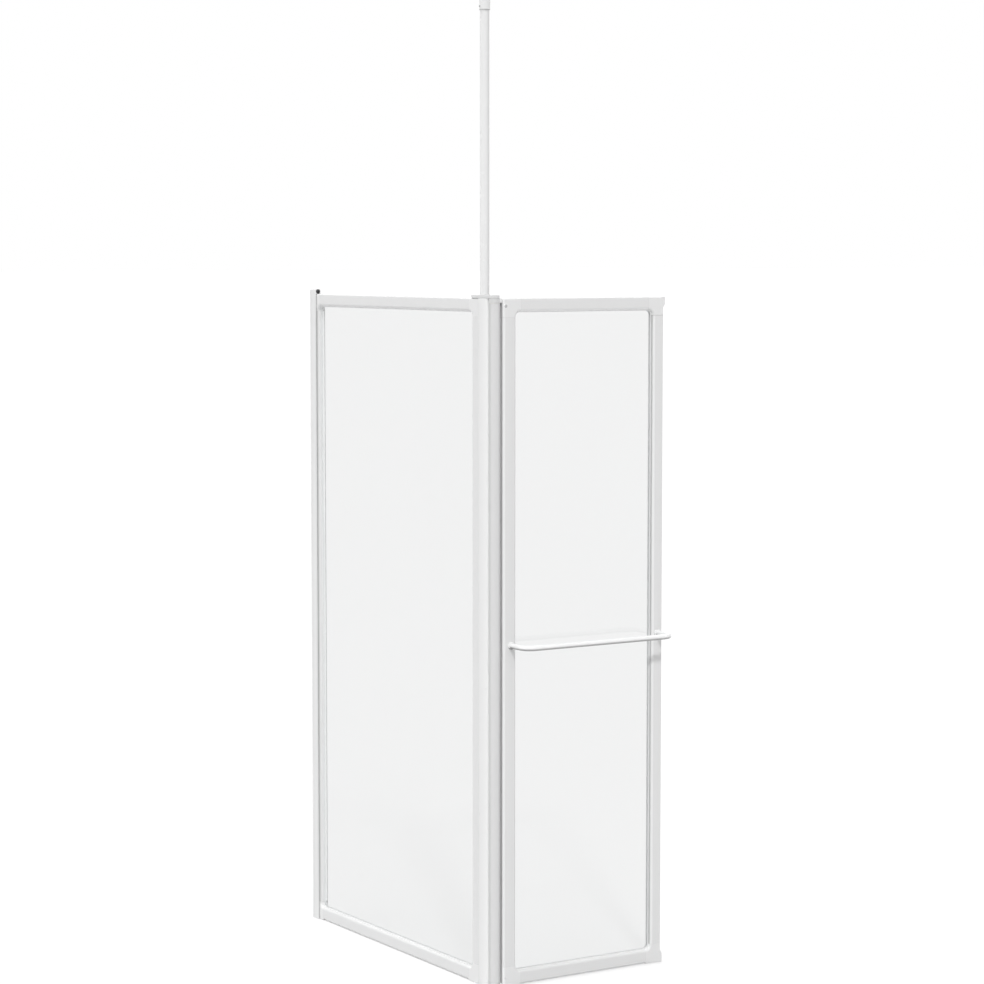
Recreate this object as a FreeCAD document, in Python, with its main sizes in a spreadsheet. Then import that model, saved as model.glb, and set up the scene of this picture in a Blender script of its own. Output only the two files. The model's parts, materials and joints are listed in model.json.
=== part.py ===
import FreeCAD, Part
import math
import os
import Sketcher

# Bath screen: a fixed panel between the wall and a corner post, with a hinged
# return panel, a towel rail on the return and a pole up to the ceiling.
# Lengths are in millimetres. X runs from the wall along the fixed panel,
# Y runs along the return, over the bath, and Z runs up. The origin lies on
# the wall, at the foot of the wall channel, in the fixed panel's mid plane.

driving_sizes = {
    "screen_height": 1500,
    "fixed_width": 788,
    "return_width": 435,
    "frame_depth": 24,
    "member_face": 28,
    "member_wall": 1.6,
    "outer_round": 3,
    "inner_edge_round": 6,
    "hollow_round": 2,
    "groove_depth": 11,
    "inner_round": 12,
    "tongue_length": 25,
    "tongue_play": 0.2,
    "pane_thickness": 5,
    "pane_bite": 9,
    "gasket_lip": 2,
    "gasket_cheek": 2,
    "seal_height": 4,
    "seal_depth": 15,
    "seal_web": 1.4,
    "return_lift": 3,
    "channel_reach": 28,
    "channel_web": 2,
    "channel_flange": 1.5,
    "channel_edge": 0.5,
    "channel_play": 0.4,
    "wall_gap": 4.5,
    "wall_screw_radius": 2.75,
    "wall_screw_inset": 75,
    "block_play": 0.3,
    "block_height": 11,
    "block_round": 2,
    "block_width": 12.5,
    "block_tongue_drop": 20,
    "block_tongue_thickness": 1.5,
    "block_screw_radius": 2.5,
    "block_screw_head_radius": 5.3,
    "block_screw_head_height": 3.4,
    "block_screw_length": 20,
    "block_screw_edge": 1.6,
    "bore_clearance": 1,
    "post_width": 39,
    "post_crown": 0.8,
    "post_corner_round": 4,
    "post_wall": 2,
    "post_barrel_land": 10.5,
    "hinge_reach": 7,
    "barrel_radius": 12,
    "bush_radius": 7,
    "bush_length": 22,
    "bush_flange_radius": 11.6,
    "bush_flange_thickness": 0.6,
    "pin_radius": 4,
    "pin_play": 0.06,
    "arm_height": 9,
    "arm_play": 0.3,
    "arm_radius": 11.9,
    "arm_neck": 11,
    "arm_root": 3,
    "barrel_notch_radius": 12.6,
    "nose_shoulder": 21,
    "nose_round": 8,
    "nose_lip": 8.6,
    "corner_nose_shoulder": 17.5,
    "corner_nose_round": 3.5,
    "hinge_stile_edge": 48,
    "hinge_chamber_start": 19.5,
    "cap_thickness": 7,
    "cap_round": 11,
    "cap_plug_drop": 12,
    "cap_plug_play": 0.2,
    "cap_edge": 2,
    "foot_thickness": 4,
    "pole_radius": 10,
    "pole_wall": 1.2,
    "pole_height": 638,
    "pole_inset": 32.3,
    "spigot_play": 0.1,
    "spigot_height": 30,
    "collar_radius": 11,
    "collar_height": 1.5,
    "collar_edge": 0.4,
    "socket_wall": 1.7,
    "socket_overlap": 33.5,
    "socket_travel_room": 22,
    "socket_play": 0.06,
    "flange_radius": 27,
    "flange_thickness": 5,
    "flange_fillet": 4,
    "flange_screw_circle": 40,
    "flange_screw_radius": 2.2,
    "grub_height": 8,
    "grub_radius": 2,
    "grub_stand": 1.6,
    "thread_play": 0.05,
    "rail_radius": 6,
    "rail_wall": 1.2,
    "rail_standoff": 61.5,
    "rail_bend": 24,
    "rail_height": 752,
    "rail_foot_radius": 8,
    "rail_foot_thickness": 4,
    "rail_screw_radius": 2.5,
    "rail_screw_length": 35,
    "rail_screw_head_radius": 4.5,
    "rail_screw_head_height": 2.4,
    "rail_plug_length": 16,
    "corner_screw_radius": 2,
    "corner_screw_head_radius": 3.8,
    "corner_screw_head_height": 0.8,
    "corner_screw_length": 9,
    "corner_screw_drop": 16,
    "tie_screw_radius": 2,
    "tie_screw_head_radius": 3.6,
    "tie_screw_head_height": 2.2,
    "tie_screw_length": 9,
    "tie_screw_inset": 102,
    "bumper_reach": 5,
    "bumper_height": 22,
    "bumper_taper": 9,
    "bumper_round": 2.5,
    "overrun": 5,
}

wall_screw_count = 4
flange_screw_count = 3
full_turn = 360
same_place = 1e-4

doc = FreeCAD.newDocument("bath_screen")
sheet = doc.addObject("Spreadsheet::Sheet", "dims")
for row, (alias, length) in enumerate(driving_sizes.items(), start=1):
    sheet.set(f"A{row}", alias)
    sheet.set(f"B{row}", str(length))
    sheet.setAlias(f"B{row}", alias)
doc.recompute()


class Size:
    # A length that knows its number and the sheet formula that gives it.

    def __init__(self, number, formula):
        self.number = number
        self.formula = formula

    def joined(self, sign, other, number):
        return Size(number, f"({self.formula} {sign} {as_size(other).formula})")

    def __add__(self, other):
        return self.joined("+", other, self.number + as_size(other).number)

    def __sub__(self, other):
        return self.joined("-", other, self.number - as_size(other).number)

    def __mul__(self, other):
        return self.joined("*", other, self.number * as_size(other).number)

    def __truediv__(self, other):
        return self.joined("/", other, self.number / as_size(other).number)

    def __neg__(self):
        return Size(-self.number, f"(-{self.formula})")


def as_size(value):
    if isinstance(value, Size):
        return value
    return Size(float(value), f"({value})")


def root(size):
    return Size(math.sqrt(size.number), f"sqrt({size.formula})")


def dim(alias):
    return Size(float(sheet.get(alias)), f"dims.{alias}")


zero = as_size(0)


def bind(thing, prop, value):
    # A property takes its value from the sheet through a formula.
    thing.setExpression(prop, as_size(value).formula)


def place(piece, x=zero, y=zero, z=zero):
    for axis, value in (("x", x), ("y", y), ("z", z)):
        bind(piece, f"Placement.Base.{axis}", value)


pieces = []


def new_body(label, x=zero, y=zero, z=zero):
    body = doc.addObject("PartDesign::Body", label)
    body.Label = label
    place(body, x, y, z)
    pieces.append(body)
    return body


def new_sketch(body, plane, rise=zero):
    # plane is XY, XZ or YZ, and rise lifts the sketch along the plane's normal,
    # which is +Z, -Y or +X.
    sketch = body.newObject("Sketcher::SketchObject", "outline")
    planes = {item.Role: item for item in body.Origin.OriginFeatures}
    sketch.AttachmentSupport = [(planes[f"{plane}_Plane"], "")]
    sketch.MapMode = "FlatFace"
    bind(sketch, "AttachmentOffset.Base.z", rise)
    return sketch


def line(start, end):
    return ("line", start, end)


def arc(start, end, centre, radius, turns_left):
    return ("arc", start, end, centre, radius, turns_left)


def vector(point):
    return FreeCAD.Vector(point[0].number, point[1].number, 0)


def angle_from(centre, point):
    return math.atan2(point[1].number - centre[1].number, point[0].number - centre[0].number)


def add_arc(sketch, start, end, centre, radius, turns_left):
    first, last = (start, end) if turns_left else (end, start)
    circle = Part.Circle(vector(centre), FreeCAD.Vector(0, 0, 1), radius.number)
    return sketch.addGeometry(Part.ArcOfCircle(circle, angle_from(centre, first), angle_from(centre, last)))


def constrain(sketch, kind, *references, value):
    index = sketch.addConstraint(Sketcher.Constraint(kind, *references, as_size(value).number))
    bind(sketch, f"Constraints[{index}]", value)


def hold_centre(sketch, geometry, segment):
    # With both ends held, the centre is left free only across the chord.
    start, end, centre = (vector(point) for point in segment[1:4])
    if abs(end.y - start.y) >= abs(end.x - start.x):
        constrain(sketch, "DistanceX", -1, 1, geometry, 3, value=segment[3][0])
    else:
        constrain(sketch, "DistanceY", -1, 1, geometry, 3, value=segment[3][1])


def draw(sketch, segments, closed=True):
    # Lines and arcs in a chain, with each corner held at its own place.
    ends = []
    for segment in segments:
        if segment[0] == "line":
            geometry = sketch.addGeometry(Part.LineSegment(vector(segment[1]), vector(segment[2])))
            ends.append((geometry, 1, 2, segment))
        else:
            geometry = add_arc(sketch, *segment[1:])
            ends.append((geometry, 1, 2, segment) if segment[5] else (geometry, 2, 1, segment))
    for index, (geometry, first, last, segment) in enumerate(ends):
        constrain(sketch, "DistanceX", -1, 1, geometry, first, value=segment[1][0])
        constrain(sketch, "DistanceY", -1, 1, geometry, first, value=segment[1][1])
        if segment[0] == "arc":
            hold_centre(sketch, geometry, segment)
        if index + 1 < len(ends) or closed:
            following = ends[(index + 1) % len(ends)]
            sketch.addConstraint(Sketcher.Constraint("Coincident", geometry, last, following[0], following[1]))
        else:
            constrain(sketch, "DistanceX", -1, 1, geometry, last, value=segment[2][0])
            constrain(sketch, "DistanceY", -1, 1, geometry, last, value=segment[2][1])


def toward(corner, other, distance):
    # The point at a distance from a corner, along a level or upright side.
    across = other[0].number - corner[0].number
    up = other[1].number - corner[1].number
    if abs(across) > abs(up):
        return (corner[0] + distance if across > 0 else corner[0] - distance, corner[1])
    return (corner[0], corner[1] + distance if up > 0 else corner[1] - distance)


def rounded(corners):
    # Level and upright sides round the corners, each given as x, y and radius.
    joints = []
    for index, (across, up, radius) in enumerate(corners):
        corner = (across, up)
        before = corners[index - 1]
        after = corners[(index + 1) % len(corners)]
        if radius is None:
            joints.append((corner, corner, None))
            continue
        entry = toward(corner, before, radius)
        leave = toward(corner, after, radius)
        level_first = abs(entry[0].number - corner[0].number) > abs(entry[1].number - corner[1].number)
        centre = (entry[0], leave[1]) if level_first else (leave[0], entry[1])
        swing = ((entry[0].number - centre[0].number) * (leave[1].number - centre[1].number)
                 - (entry[1].number - centre[1].number) * (leave[0].number - centre[0].number))
        joints.append((entry, leave, arc(entry, leave, centre, radius, swing > 0)))
    segments = []
    for index, (entry, leave, corner_arc) in enumerate(joints):
        if corner_arc:
            segments.append(corner_arc)
        segments.append(line(leave, joints[(index + 1) % len(joints)][0]))
    return segments


def box_outline(low_x, low_y, high_x, high_y, radius=None):
    return rounded([
        (low_x, low_y, radius),
        (high_x, low_y, radius),
        (high_x, high_y, radius),
        (low_x, high_y, radius),
    ])


def draw_circle(sketch, across, up, radius):
    centre = FreeCAD.Vector(across.number, up.number, 0)
    geometry = sketch.addGeometry(Part.Circle(centre, FreeCAD.Vector(0, 0, 1), radius.number))
    constrain(sketch, "DistanceX", -1, 1, geometry, 3, value=across)
    constrain(sketch, "DistanceY", -1, 1, geometry, 3, value=up)
    constrain(sketch, "Radius", geometry, value=radius)


def pad(body, sketch, length, back=False):
    feature = body.newObject("PartDesign::Pad", "pad")
    feature.Profile = sketch
    feature.Reversed = back
    bind(feature, "Length", length)
    return finished(feature)


def pocket(body, sketch, length):
    # The cut runs along the sketch's normal.
    before = body.Tip.Shape.Volume
    feature = body.newObject("PartDesign::Pocket", "pocket")
    feature.Profile = sketch
    feature.Reversed = True
    bind(feature, "Length", length)
    finished(feature)
    if feature.Shape.Volume >= before:
        raise ValueError(f"{body.Label}: a pocket cuts nothing")
    return feature


def finished(feature):
    doc.recompute()
    feature.Profile[0].Visibility = False
    return feature


def fillet(body, radius, wanted):
    # Rounds each edge of the newest shape that the test picks.
    base = body.Tip
    names = [f"Edge{index}" for index, edge in enumerate(base.Shape.Edges, start=1) if wanted(edge)]
    if not names:
        raise ValueError(f"{body.Label}: no edge to round")
    feature = body.newObject("PartDesign::Fillet", "edge_finish")
    feature.Base = (base, names)
    bind(feature, "Radius", radius)
    doc.recompute()


def near(first, second):
    return abs(first - second) < same_place


def flat_at(edge, axis, level):
    # True where the whole edge lies in the plane across an axis.
    low = getattr(edge.BoundBox, f"{axis}Min")
    high = getattr(edge.BoundBox, f"{axis}Max")
    return near(low, level.number) and near(high, level.number)


def is_curved(edge):
    return edge.Curve.TypeId != "Part::GeomLine"


half_depth = dim("frame_depth") / 2
groove_half = dim("pane_thickness") / 2 + dim("gasket_cheek")
corner_reach = dim("member_face") + dim("inner_round")
groove_floor = dim("member_face") - dim("groove_depth")
chamber_near = dim("member_wall")
chamber_far = groove_floor - dim("member_wall")
chamber_half = half_depth - dim("member_wall")
hinge_x = dim("fixed_width") + dim("hinge_reach")
post_face_x = dim("fixed_width") - dim("post_width")
return_foot_z = dim("return_lift") + dim("seal_height")
tongue_near = chamber_near + dim("tongue_play")
tongue_far = chamber_far - dim("tongue_play")
tongue_half = chamber_half - dim("tongue_play")


def member_outline(side):
    # The frame member's section, from its outer edge at zero to its inner edge.
    face = dim("member_face") * side
    floor = groove_floor * side
    outer = dim("outer_round")
    inner = dim("inner_edge_round")
    return rounded([
        (zero, -half_depth, outer),
        (face, -half_depth, inner),
        (face, -groove_half, None),
        (floor, -groove_half, None),
        (floor, groove_half, None),
        (face, groove_half, None),
        (face, half_depth, inner),
        (zero, half_depth, outer),
    ])


def swapped(segments):
    # The same outline with its two directions exchanged.
    turned = []
    for segment in segments:
        points = [(point[1], point[0]) for point in segment[1:3]]
        if segment[0] == "line":
            turned.append(line(*points))
        else:
            centre = (segment[3][1], segment[3][0])
            turned.append(arc(*points, centre, segment[4], not segment[5]))
    return turned


def frame_stile(label, outer_x, y, z, side, length):
    # An upright member. side is 1 where the pane lies toward +X.
    body = new_body(label, outer_x, y, z)
    section = new_sketch(body, "XY")
    draw(section, member_outline(side))
    draw(section, box_outline(chamber_near * side, -chamber_half, chamber_far * side, chamber_half))
    pad(body, section, length)
    return body


# Fixed panel's frame

fixed_foot_z = dim("seal_height")
fixed_stile_z = fixed_foot_z + corner_reach
fixed_stile_length = dim("screen_height") - corner_reach - fixed_stile_z
fixed_rail_x = dim("wall_gap") + corner_reach
fixed_rail_length = post_face_x - corner_reach - fixed_rail_x

wall_stile = frame_stile("fixed_wall_stile", dim("wall_gap"), zero, fixed_stile_z, 1, fixed_stile_length)
post_stile = frame_stile("fixed_post_stile", post_face_x, zero, fixed_stile_z, -1, fixed_stile_length)

tie_hole_radius = dim("tie_screw_radius") + dim("thread_play")
tie_screw_low = fixed_foot_z + dim("tie_screw_inset")
tie_screw_high = dim("screen_height") - dim("tie_screw_inset")
tie_screw_levels = [tie_screw_low, (tie_screw_low + tie_screw_high) / 2, tie_screw_high]

tie_holes = new_sketch(post_stile, "YZ", -chamber_near - dim("overrun") / 2)
for level in tie_screw_levels:
    draw_circle(tie_holes, zero, level - fixed_stile_z, tie_hole_radius)
pocket(post_stile, tie_holes, chamber_near + dim("overrun"))


def fixed_rail(label, outer_z, side):
    # A level member. side is 1 where the pane lies above it.
    body = new_body(label, fixed_rail_x, zero, outer_z)
    section = new_sketch(body, "YZ")
    draw(section, swapped(member_outline(side)))
    draw(section, swapped(box_outline(chamber_near * side, -chamber_half, chamber_far * side, chamber_half)))
    pad(body, section, fixed_rail_length)


fixed_rail("fixed_top_rail", dim("screen_height"), -1)
fixed_rail("fixed_bottom_rail", fixed_foot_z, 1)


def corner_outline(side, lift, foot):
    # A moulded corner seen face on, from its outer corner. side is 1 where the
    # frame lies toward the sketch's first axis, lift is 1 at a bottom corner.
    reach = corner_reach * side
    face = dim("member_face")
    low = -foot * lift
    return [
        line((reach, low), (reach, face * lift)),
        arc((reach, face * lift), (face * side, corner_reach * lift), (reach, corner_reach * lift),
            dim("inner_round"), side * lift < 0),
        line((face * side, corner_reach * lift), (zero, corner_reach * lift)),
        line((zero, corner_reach * lift), (zero, low)),
        line((zero, low), (reach, low)),
    ]


def seal_drop(lift):
    # How far a bottom corner reaches down beside the seal.
    return dim("seal_height") if lift > 0 else zero


def corner_tongue(body, plane, start, low, high, back=False):
    # The tongue that enters the hollow of the member beside the corner.
    sketch = new_sketch(body, plane, start)
    draw(sketch, box_outline(*low, *high, dim("hollow_round")))
    pad(body, sketch, dim("tongue_length"), back)


def beside(reach, side):
    # Where a tongue starts, along the axis it is drawn up.
    return reach if side > 0 else -reach - dim("tongue_length")


def pane_slot(body, plane, low, high):
    slot = new_sketch(body, plane, -groove_half)
    draw(slot, box_outline(*low, *high))
    pocket(body, slot, groove_half * 2)


def on_face(edge, axis):
    return flat_at(edge, axis, half_depth) or flat_at(edge, axis, -half_depth)


def round_opening(body, axis):
    # The curved edge beside the pane, on both broad faces.
    fillet(body, dim("inner_edge_round"), lambda edge: on_face(edge, axis) and is_curved(edge))


def round_faces(body, axis, joints):
    # Rounds the outline edges of both broad faces, leaving the joint ends square.
    def outer_edge(edge):
        at_joint = any(flat_at(edge, other, level) for other, level in joints)
        return on_face(edge, axis) and not at_joint and not is_curved(edge)
    round_opening(body, axis)
    fillet(body, dim("outer_round"), outer_edge)


def fixed_corner(label, outer_x, outer_z, side, lift):
    body = new_body(label, outer_x, zero, outer_z)
    face_view = new_sketch(body, "XZ", -half_depth)
    draw(face_view, corner_outline(side, lift, seal_drop(lift)))
    pad(body, face_view, dim("frame_depth"))
    round_faces(body, "Y", [("X", corner_reach * side), ("Z", corner_reach * lift)])
    past = corner_reach + dim("overrun")
    pane_slot(body, "XZ", (groove_floor * side, groove_floor * lift), (past * side, past * lift))
    corner_tongue(body, "XY", beside(corner_reach, lift), (tongue_near * side, -tongue_half),
                  (tongue_far * side, tongue_half))
    corner_tongue(body, "YZ", beside(corner_reach, side), (-tongue_half, tongue_near * lift),
                  (tongue_half, tongue_far * lift))


fixed_corner("fixed_corner_top_wall", dim("wall_gap"), dim("screen_height"), 1, -1)
fixed_corner("fixed_corner_bottom_wall", dim("wall_gap"), fixed_foot_z, 1, 1)
fixed_corner("fixed_corner_top_post", post_face_x, dim("screen_height"), -1, -1)
fixed_corner("fixed_corner_bottom_post", post_face_x, fixed_foot_z, -1, 1)


# Panes and their gaskets, drawn face on

pane_inset = dim("member_face") - dim("pane_bite")
gasket_inset = dim("member_face") + dim("gasket_lip")
gasket_round = dim("inner_round") - dim("gasket_lip")


def pane(label, plane, low, high, x=zero, y=zero, z=zero):
    body = new_body(label, x, y, z)
    face_view = new_sketch(body, plane, -dim("pane_thickness") / 2)
    draw(face_view, box_outline(*low, *high))
    pad(body, face_view, dim("pane_thickness"))


def gasket(label, plane, low, high, low_lip, high_lip, pane_low, pane_high, x=zero, y=zero, z=zero):
    # A channel of soft profile round the pane's edge, with a lip on each face.
    body = new_body(label, x, y, z)
    face_view = new_sketch(body, plane, -groove_half)
    draw(face_view, box_outline(*low, *high))
    draw(face_view, box_outline(*low_lip, *high_lip, gasket_round))
    pad(body, face_view, groove_half * 2)
    slot = new_sketch(body, plane, -dim("pane_thickness") / 2)
    draw(slot, box_outline(*pane_low, *pane_high))
    pocket(body, slot, dim("pane_thickness"))


fixed_far = post_face_x - dim("wall_gap")
fixed_top = dim("screen_height") - fixed_foot_z


def inset_corners(inset, far, top):
    return (inset, inset), (far - inset, top - inset)


fixed_place = {"x": dim("wall_gap"), "z": fixed_foot_z}
pane("fixed_pane", "XZ", *inset_corners(pane_inset, fixed_far, fixed_top), **fixed_place)
gasket("fixed_pane_gasket", "XZ", *inset_corners(groove_floor, fixed_far, fixed_top),
       *inset_corners(gasket_inset, fixed_far, fixed_top),
       *inset_corners(pane_inset, fixed_far, fixed_top), **fixed_place)


def seal_outline():
    # A flat back with two fins that lean outward down to the rim.
    half = dim("seal_depth") / 2
    web = dim("seal_web")
    top = dim("seal_height")
    floor = top - web
    inner = half - web * 2
    return [
        line((-half, top), (half, top)),
        line((half, top), (half, zero)),
        line((half, zero), (half - web, zero)),
        line((half - web, zero), (inner, floor)),
        line((inner, floor), (-inner, floor)),
        line((-inner, floor), (web - half, zero)),
        line((web - half, zero), (-half, zero)),
        line((-half, zero), (-half, top)),
    ]


fixed_seal = new_body("fixed_bottom_seal", fixed_rail_x)
fixed_seal_section = new_sketch(fixed_seal, "YZ")
draw(fixed_seal_section, seal_outline())
pad(fixed_seal, fixed_seal_section, fixed_rail_length)


# Wall channel and the block on its top

channel_inside = half_depth + dim("channel_play")
channel_outside = channel_inside + dim("channel_flange")
channel_height = dim("screen_height") + dim("block_play")

channel = new_body("wall_channel")
channel_section = new_sketch(channel, "XY")
draw(channel_section, rounded([
    (zero, -channel_outside, None),
    (dim("channel_reach"), -channel_outside, dim("channel_edge")),
    (dim("channel_reach"), -channel_inside, dim("channel_edge")),
    (dim("channel_web"), -channel_inside, None),
    (dim("channel_web"), channel_inside, None),
    (dim("channel_reach"), channel_inside, dim("channel_edge")),
    (dim("channel_reach"), channel_outside, dim("channel_edge")),
    (zero, channel_outside, None),
]))
pad(channel, channel_section, channel_height)
wall_screw_holes = new_sketch(channel, "YZ", -dim("overrun") / 2)
draw_circle(wall_screw_holes, zero, dim("wall_screw_inset"), dim("wall_screw_radius"))
wall_screw_hole = pocket(channel, wall_screw_holes, dim("channel_web") + dim("overrun"))
wall_screw_line = channel.newObject("PartDesign::LinearPattern", "wall_screw_line")
wall_screw_line.Originals = [wall_screw_hole]
wall_screw_line.Direction = (wall_screw_holes, ["V_Axis"])
wall_screw_line.Occurrences = wall_screw_count
bind(wall_screw_line, "Length", dim("screen_height") - dim("wall_screw_inset") * 2)
channel.Tip = wall_screw_line
doc.recompute()

block = new_body("channel_top_block", zero, -channel_outside, channel_height)
block_view = new_sketch(block, "YZ")
draw(block_view, box_outline(zero, zero, dim("block_width"), dim("block_height")))
pad(block, block_view, dim("channel_reach"))
fillet(block, dim("block_round"), lambda edge: flat_at(edge, "Z", dim("block_height"))
       and not flat_at(edge, "X", zero) and not flat_at(edge, "X", dim("channel_reach")))
block_tongue = new_sketch(block, "XY", -dim("block_tongue_drop"))
tongue_y = dim("channel_flange") + dim("channel_play") + dim("tongue_play")
draw(block_tongue, box_outline(dim("channel_web"), tongue_y,
                               dim("channel_web") + dim("block_tongue_thickness"), dim("block_width")))
pad(block, block_tongue, dim("block_tongue_drop"))
block_bore_depth = dim("block_screw_length") + dim("bore_clearance")
block_bore = new_sketch(block, "YZ", dim("channel_reach") - block_bore_depth)
draw_circle(block_bore, dim("block_width") / 2, dim("block_height") / 2,
            dim("block_screw_radius") + dim("thread_play"))
pocket(block, block_bore, block_bore_depth + dim("overrun"))


def add_rods(body, start, length, radius, centres):
    rods = new_sketch(body, "YZ", start)
    for across, up in centres:
        draw_circle(rods, across, up, radius)
    pad(body, rods, length)


def add_screws(body, name, shank_start, head_start, centres):
    # Shanks with their heads, whose sizes go by the screw's name in the sheet.
    add_rods(body, shank_start, dim(f"{name}_length"), dim(f"{name}_radius"), centres)
    add_rods(body, head_start, dim(f"{name}_head_height"), dim(f"{name}_head_radius"), centres)


block_screw = new_body("channel_block_screw", dim("channel_reach"),
                       dim("block_width") / 2 - channel_outside, channel_height + dim("block_height") / 2)
add_screws(block_screw, "block_screw", -dim("block_screw_length"), zero, [(zero, zero)])
fillet(block_screw, dim("block_screw_edge"), lambda edge: flat_at(edge, "X", dim("block_screw_head_height")))


# Corner post, drawn from the hinge axis

post_near = post_face_x - hinge_x
post_end = -dim("post_barrel_land")
post_round = dim("post_corner_round")
barrel = dim("barrel_radius")
arm_stack = dim("arm_height") + dim("arm_play") + dim("bush_flange_thickness")
barrel_top = dim("screen_height") - dim("arm_play") - arm_stack
barrel_foot = dim("return_lift") + arm_stack


def post_outline():
    # A crowned box on the panel side that runs into the round hinge barrel.
    crown_end = post_end - post_round
    chord_half = (crown_end - post_near) / 2
    crown = dim("post_crown")
    crown_radius = (chord_half * chord_half + crown * crown) / (crown * 2)
    crown_middle = post_near + chord_half
    crown_centre = half_depth + crown - crown_radius
    meet = root(barrel * barrel - post_end * post_end)
    step = half_depth - post_round
    return [
        arc((post_near, -half_depth), (crown_end, -half_depth), (crown_middle, -crown_centre), crown_radius, True),
        arc((crown_end, -half_depth), (post_end, -step), (crown_end, -step), post_round, True),
        line((post_end, -step), (post_end, -meet)),
        arc((post_end, -meet), (post_end, meet), (zero, zero), barrel, True),
        line((post_end, meet), (post_end, step)),
        arc((post_end, step), (crown_end, half_depth), (crown_end, step), post_round, True),
        arc((crown_end, half_depth), (post_near, half_depth), (crown_middle, crown_centre), crown_radius, True),
        line((post_near, half_depth), (post_near, -half_depth)),
    ]


post_chamber = (post_near + dim("post_wall"), dim("post_wall") - half_depth,
                post_end - barrel + dim("post_wall"), half_depth - dim("post_wall"))
post_z = dim("foot_thickness")
post_length = dim("screen_height") - post_z

post = new_body("corner_post", hinge_x, zero, post_z)
post_section = new_sketch(post, "XY")
draw(post_section, post_outline())
draw(post_section, box_outline(*post_chamber, dim("hollow_round")))
draw_circle(post_section, zero, zero, dim("bush_radius"))
pad(post, post_section, post_length)


def barrel_notch(low, height):
    notch = new_sketch(post, "XY", low)
    draw_circle(notch, zero, zero, dim("barrel_notch_radius"))
    pocket(post, notch, height)


barrel_notch(barrel_top - post_z, dim("screen_height") - barrel_top + dim("overrun"))
barrel_notch(-dim("overrun"), barrel_foot - post_z + dim("overrun"))
post_tie_holes = new_sketch(post, "YZ", post_near - dim("overrun") / 2)
for level in tie_screw_levels:
    draw_circle(post_tie_holes, zero, level - post_z, tie_hole_radius)
pocket(post, post_tie_holes, dim("post_wall") + dim("overrun") / 2)

tie_screws = new_body("post_tie_screws", post_face_x + dim("post_wall"), zero, zero)
add_screws(tie_screws, "tie_screw", -dim("tie_screw_length"), zero,
           [(zero, level) for level in tie_screw_levels])


# Post caps, which also cover the stile beside the post and the hinge barrel


def cap_outline(start, half):
    # A straight cover that narrows to a round end at the barrel.
    end = dim("cap_round")
    return [
        line((start, -half), (post_end, -half)),
        line((post_end, -half), (zero, -end)),
        arc((zero, -end), (zero, end), (zero, zero), end, True),
        line((zero, end), (post_end, half)),
        line((post_end, half), (start, half)),
        line((start, half), (start, -half)),
    ]


def cap_plug(body, start):
    plug = new_sketch(body, "XY", start)
    play = dim("cap_plug_play")
    low_x, low_y, high_x, high_y = post_chamber
    draw(plug, box_outline(low_x + play, low_y + play, high_x - play, high_y - play, dim("hollow_round") - play))
    pad(body, plug, dim("cap_plug_drop"))


pole_x = -dim("pole_inset") - dim("hinge_reach")
spigot_radius = dim("pole_radius") - dim("pole_wall") - dim("spigot_play")

top_cap = new_body("post_top_cap", hinge_x, zero, dim("screen_height"))
top_plate = new_sketch(top_cap, "XY")
draw(top_plate, cap_outline(post_near - dim("member_face"), half_depth + dim("post_crown") / 2))
pad(top_cap, top_plate, dim("cap_thickness"))
fillet(top_cap, dim("cap_edge"), lambda edge: flat_at(edge, "Z", dim("cap_thickness")))
cap_plug(top_cap, -dim("cap_plug_drop"))
spigot = new_sketch(top_cap, "XY", dim("cap_thickness"))
draw_circle(spigot, pole_x, zero, spigot_radius)
pad(top_cap, spigot, dim("spigot_height"))

foot_cap = new_body("post_foot_cap", hinge_x)
foot_plate = new_sketch(foot_cap, "XY")
draw(foot_plate, cap_outline(post_near, half_depth))
foot_plate_height = dim("return_lift") - dim("arm_play")
pad(foot_cap, foot_plate, foot_plate_height)
foot_step = new_sketch(foot_cap, "XY", foot_plate_height)
draw(foot_step, box_outline(post_near, -half_depth, post_end - barrel, half_depth))
pad(foot_cap, foot_step, dim("foot_thickness") - foot_plate_height)
cap_plug(foot_cap, dim("foot_thickness"))


# Hinge bushes in both ends of the barrel, and the pins that turn in them

bush_bore = dim("pin_radius") + dim("pin_play")
bushes = new_body("hinge_bushes", hinge_x)


def bush(flange_low, sleeve_low):
    flange = new_sketch(bushes, "XY", flange_low)
    draw_circle(flange, zero, zero, dim("bush_flange_radius"))
    draw_circle(flange, zero, zero, bush_bore)
    pad(bushes, flange, dim("bush_flange_thickness"))
    sleeve = new_sketch(bushes, "XY", sleeve_low)
    draw_circle(sleeve, zero, zero, dim("bush_radius") - dim("thread_play"))
    draw_circle(sleeve, zero, zero, bush_bore)
    pad(bushes, sleeve, dim("bush_length"))


bush(barrel_top, barrel_top - dim("bush_length"))
bush(barrel_foot - dim("bush_flange_thickness"), barrel_foot)


# Pole between the post's cap and the ceiling

cap_top = dim("screen_height") + dim("cap_thickness")
pole_place = {"x": hinge_x + pole_x, "z": cap_top}

pole = new_body("ceiling_pole", **pole_place)
pole_section = new_sketch(pole, "XY")
draw_circle(pole_section, zero, zero, dim("pole_radius"))
draw_circle(pole_section, zero, zero, dim("pole_radius") - dim("pole_wall"))
pad(pole, pole_section, dim("pole_height"))

collar = new_body("pole_collar", **pole_place)
collar_section = new_sketch(collar, "XY")
draw_circle(collar_section, zero, zero, dim("collar_radius"))
draw_circle(collar_section, zero, zero, dim("pole_radius") + dim("spigot_play"))
pad(collar, collar_section, dim("collar_height"))
fillet(collar, dim("collar_edge"), lambda edge: flat_at(edge, "Z", dim("collar_height"))
       and edge.BoundBox.XLength > (dim("pole_radius") + dim("collar_radius")).number)

# Ceiling socket, turned about the pole's axis, that slides on the pole's top

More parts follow.
